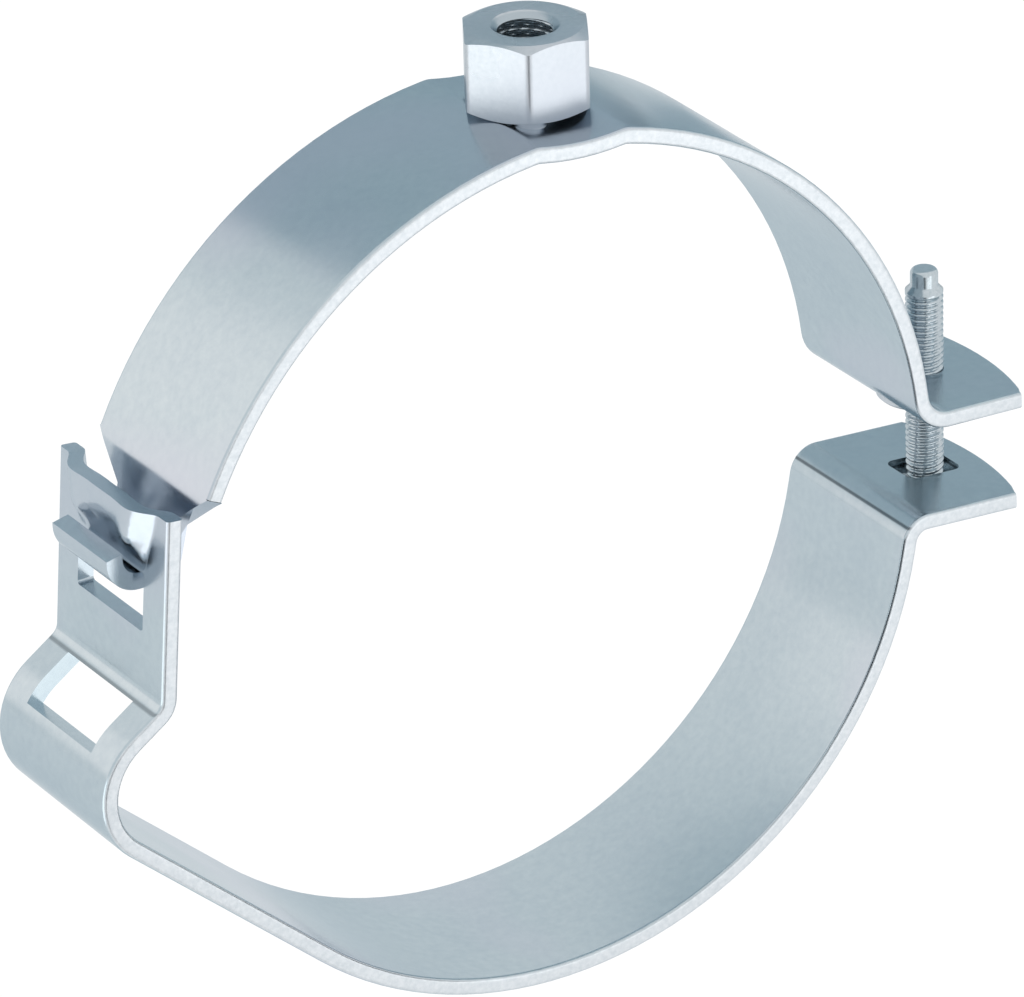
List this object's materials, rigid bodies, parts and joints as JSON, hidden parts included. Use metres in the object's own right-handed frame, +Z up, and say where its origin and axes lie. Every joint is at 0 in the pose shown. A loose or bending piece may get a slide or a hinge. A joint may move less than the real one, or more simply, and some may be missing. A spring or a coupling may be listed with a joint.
{
  "type": "pipe bracket",
  "caption": "Hinged steel pipe clamp: two strap halves hooked together at one side, drawn closed by a clamping screw at the other, with a welded threaded nut on top for hanging.",
  "frame": {"origin": "mid length of the connection nut's thread, on its axis", "axes": "+Y along the pipe, +Z up along the connection nut's thread, +X towards the clamping screw; the pipe's axis runs about 78 mm below the origin"},
  "size_m": [0.1675, 0.032, 0.1522],
  "materials": {
    "strap_zinc": "satin bluish zinc plating",
    "nut_zinc": "satin bluish zinc plating",
    "screw_zinc": "bright zinc plating"
  },
  "bodies": {
    "upper": {"upper_shell": "strap_zinc", "connection_nut": "nut_zinc", "thread_collar": "nut_zinc"},
    "lower": {"lower_shell": "strap_zinc"},
    "screw": {"clamp_screw": "screw_zinc"}
  },
  "joints": [
    {"name": "hook_hinge", "type": "hinge", "parent": "upper", "child": "lower", "pos_m": [-0.07255, 0, -0.05995], "axis": [0, -1, 0], "range_deg": [-2, 4.8]},
    {"name": "screw_travel", "type": "slide", "parent": "upper", "child": "screw", "axis": [0, 0, 1], "range_m": [-0.0052, 0.0122]}
  ],
  "couplings": [
    {"joint": "screw_travel", "follows": "hook_hinge", "m_per_rad": 0.144}
  ]
}
